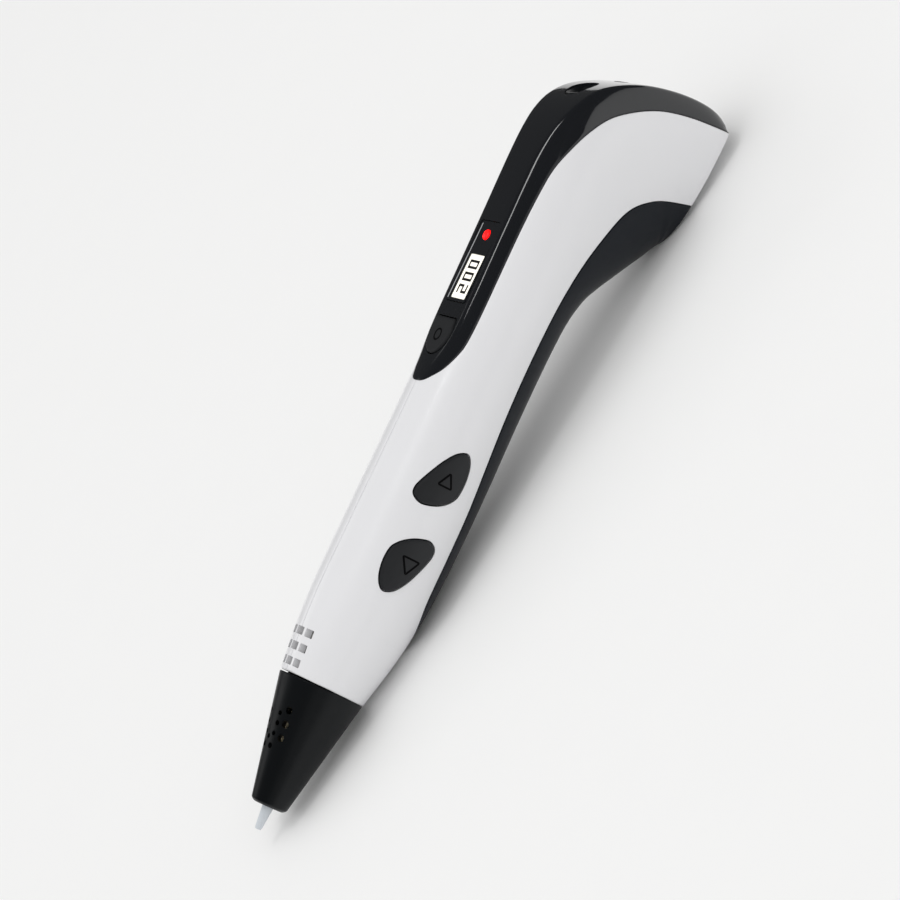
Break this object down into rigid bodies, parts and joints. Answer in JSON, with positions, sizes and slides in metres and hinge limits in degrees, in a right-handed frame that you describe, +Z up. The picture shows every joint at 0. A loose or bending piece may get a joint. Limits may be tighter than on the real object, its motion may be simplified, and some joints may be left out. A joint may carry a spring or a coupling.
{
  "type": "3d printing pen",
  "caption": "Hand-held 3-D printing pen with a ceramic nozzle, side feed and retract buttons, a display panel and a geared filament drive in its head.",
  "frame": {"origin": "middle of the underside of the bounding box of the pen lying on a table, resting on its belly and the front edge of its head", "axes": "+X from the nozzle towards the head along the box's longest side, +Z up, feed and retract buttons on the -Y side"},
  "size_m": [0.185, 0.0262, 0.0391],
  "materials": {
    "arm_grey": "die-cast",
    "black_gloss": "polished piano-black ABS",
    "black_satin": "satin black ABS",
    "board_green": "solder-masked circuit board",
    "brass": "machined brass",
    "button_grey": "dark grey soft-touch",
    "ceramic": "glazed pale grey ceramic",
    "chip_black": "black moulding",
    "cone_black": "satin black heat-resistant plastic",
    "display_glass": "display glass",
    "frame_grey": "glass-filled nylon",
    "glass_bead": "amber glass bead",
    "heater_sleeve": "woven polyimide and mica",
    "nylon": "natural nylon",
    "ptfe": "translucent white PTFE",
    "red_light": "red translucent",
    "smoked_window": "smoked acrylic",
    "steel": "machined steel",
    "switch_steel": "pressed steel",
    "white_shell": "smooth satin-gloss white ABS"
  },
  "bodies": {
    "body": {"shell_left": "white_shell", "shell_right": "white_shell", "case_screw_1": "steel", "case_screw_2": "steel", "case_screw_3": "steel", "case_screw_4": "steel", "top_panel": "black_gloss", "underside_cover": "black_satin", "head_base": "white_shell", "nose_cone": "cone_black", "nozzle": "ceramic", "heater_tube": "brass", "heater_sleeve": "heater_sleeve", "thermistor": "glass_bead", "heat_break": "steel", "cold_end_collar": "nylon", "guide_tube": "ptfe", "inlet_tube": "ptfe", "inlet_funnel": "cone_black", "shaft_bush_left": "brass", "shaft_bush_right": "brass", "gearbox": "brass", "motor_can": "steel", "feed_frame": "frame_grey", "pivot_pin": "steel", "idler_spring": "steel", "feed_switch": "switch_steel", "retract_switch": "switch_steel", "side_board": "board_green", "mode_switch": "switch_steel", "display_window": "smoked_window", "status_light": "red_light", "display_module": "display_glass", "status_led": "red_light", "main_board": "board_green", "control_chip": "chip_black", "power_jack": "chip_black", "fan_housing": "chip_black"},
    "drive": {"drive_shaft": "steel", "drive_gear": "steel", "worm_wheel": "brass"},
    "worm": {"worm": "brass", "motor_shaft": "steel"},
    "idler_arm": {"idler_arm": "arm_grey", "idler_axle": "steel"},
    "idler_bearing": {"idler_bearing": "steel"},
    "fan_rotor": {"fan_rotor": "chip_black"},
    "mode_button": {"mode_button": "button_grey", "mode_stem": "button_grey"},
    "feed_button": {"feed_button": "button_grey", "feed_stem": "button_grey"},
    "retract_button": {"retract_button": "button_grey", "retract_stem": "button_grey"}
  },
  "joints": [
    {"name": "drive_spin", "type": "hinge", "parent": "body", "child": "drive", "pos_m": [0.05497, 0.0002, 0.01996], "axis": [0, 1, 0], "continuous": true},
    {"name": "worm_spin", "type": "hinge", "parent": "body", "child": "worm", "pos_m": [0.056, 0.0017, 0.01212], "axis": [0.9914, 0, 0.1311], "continuous": true},
    {"name": "idler_swing", "type": "hinge", "parent": "body", "child": "idler_arm", "pos_m": [0.04708, 0.0002, 0.02774], "axis": [0, -1, 0], "range_deg": [0, 4], "stiffness_Nm_per_rad": 0.05, "springref_deg": -11.46, "deforming": ["idler_spring"]},
    {"name": "idler_spin", "type": "hinge", "parent": "idler_arm", "child": "idler_bearing", "pos_m": [0.0539, 0.0002, 0.02804], "axis": [0, 1, 0], "continuous": true},
    {"name": "fan_spin", "type": "hinge", "parent": "body", "child": "fan_rotor", "pos_m": [-0.04064, 0.0002, 0.01677], "axis": [-0.1311, 0, 0.9914], "continuous": true},
    {"name": "mode_press", "type": "slide", "parent": "body", "child": "mode_button", "axis": [0.1311, 0, -0.9914], "range_m": [0, 0.0003], "stiffness_N_per_m": 1200, "springref_m": -0.0005},
    {"name": "feed_press", "type": "slide", "parent": "body", "child": "feed_button", "axis": [0, 1, 0], "range_m": [0, 0.0005], "stiffness_N_per_m": 1200, "springref_m": -0.0005},
    {"name": "retract_press", "type": "slide", "parent": "body", "child": "retract_button", "axis": [0, 1, 0], "range_m": [0, 0.0005], "stiffness_N_per_m": 1200, "springref_m": -0.0005}
  ],
  "couplings": [
    {"joint": "worm_spin", "follows": "drive_spin", "ratio": 18},
    {"joint": "idler_spin", "follows": "drive_spin", "ratio": -1.1667}
  ]
}
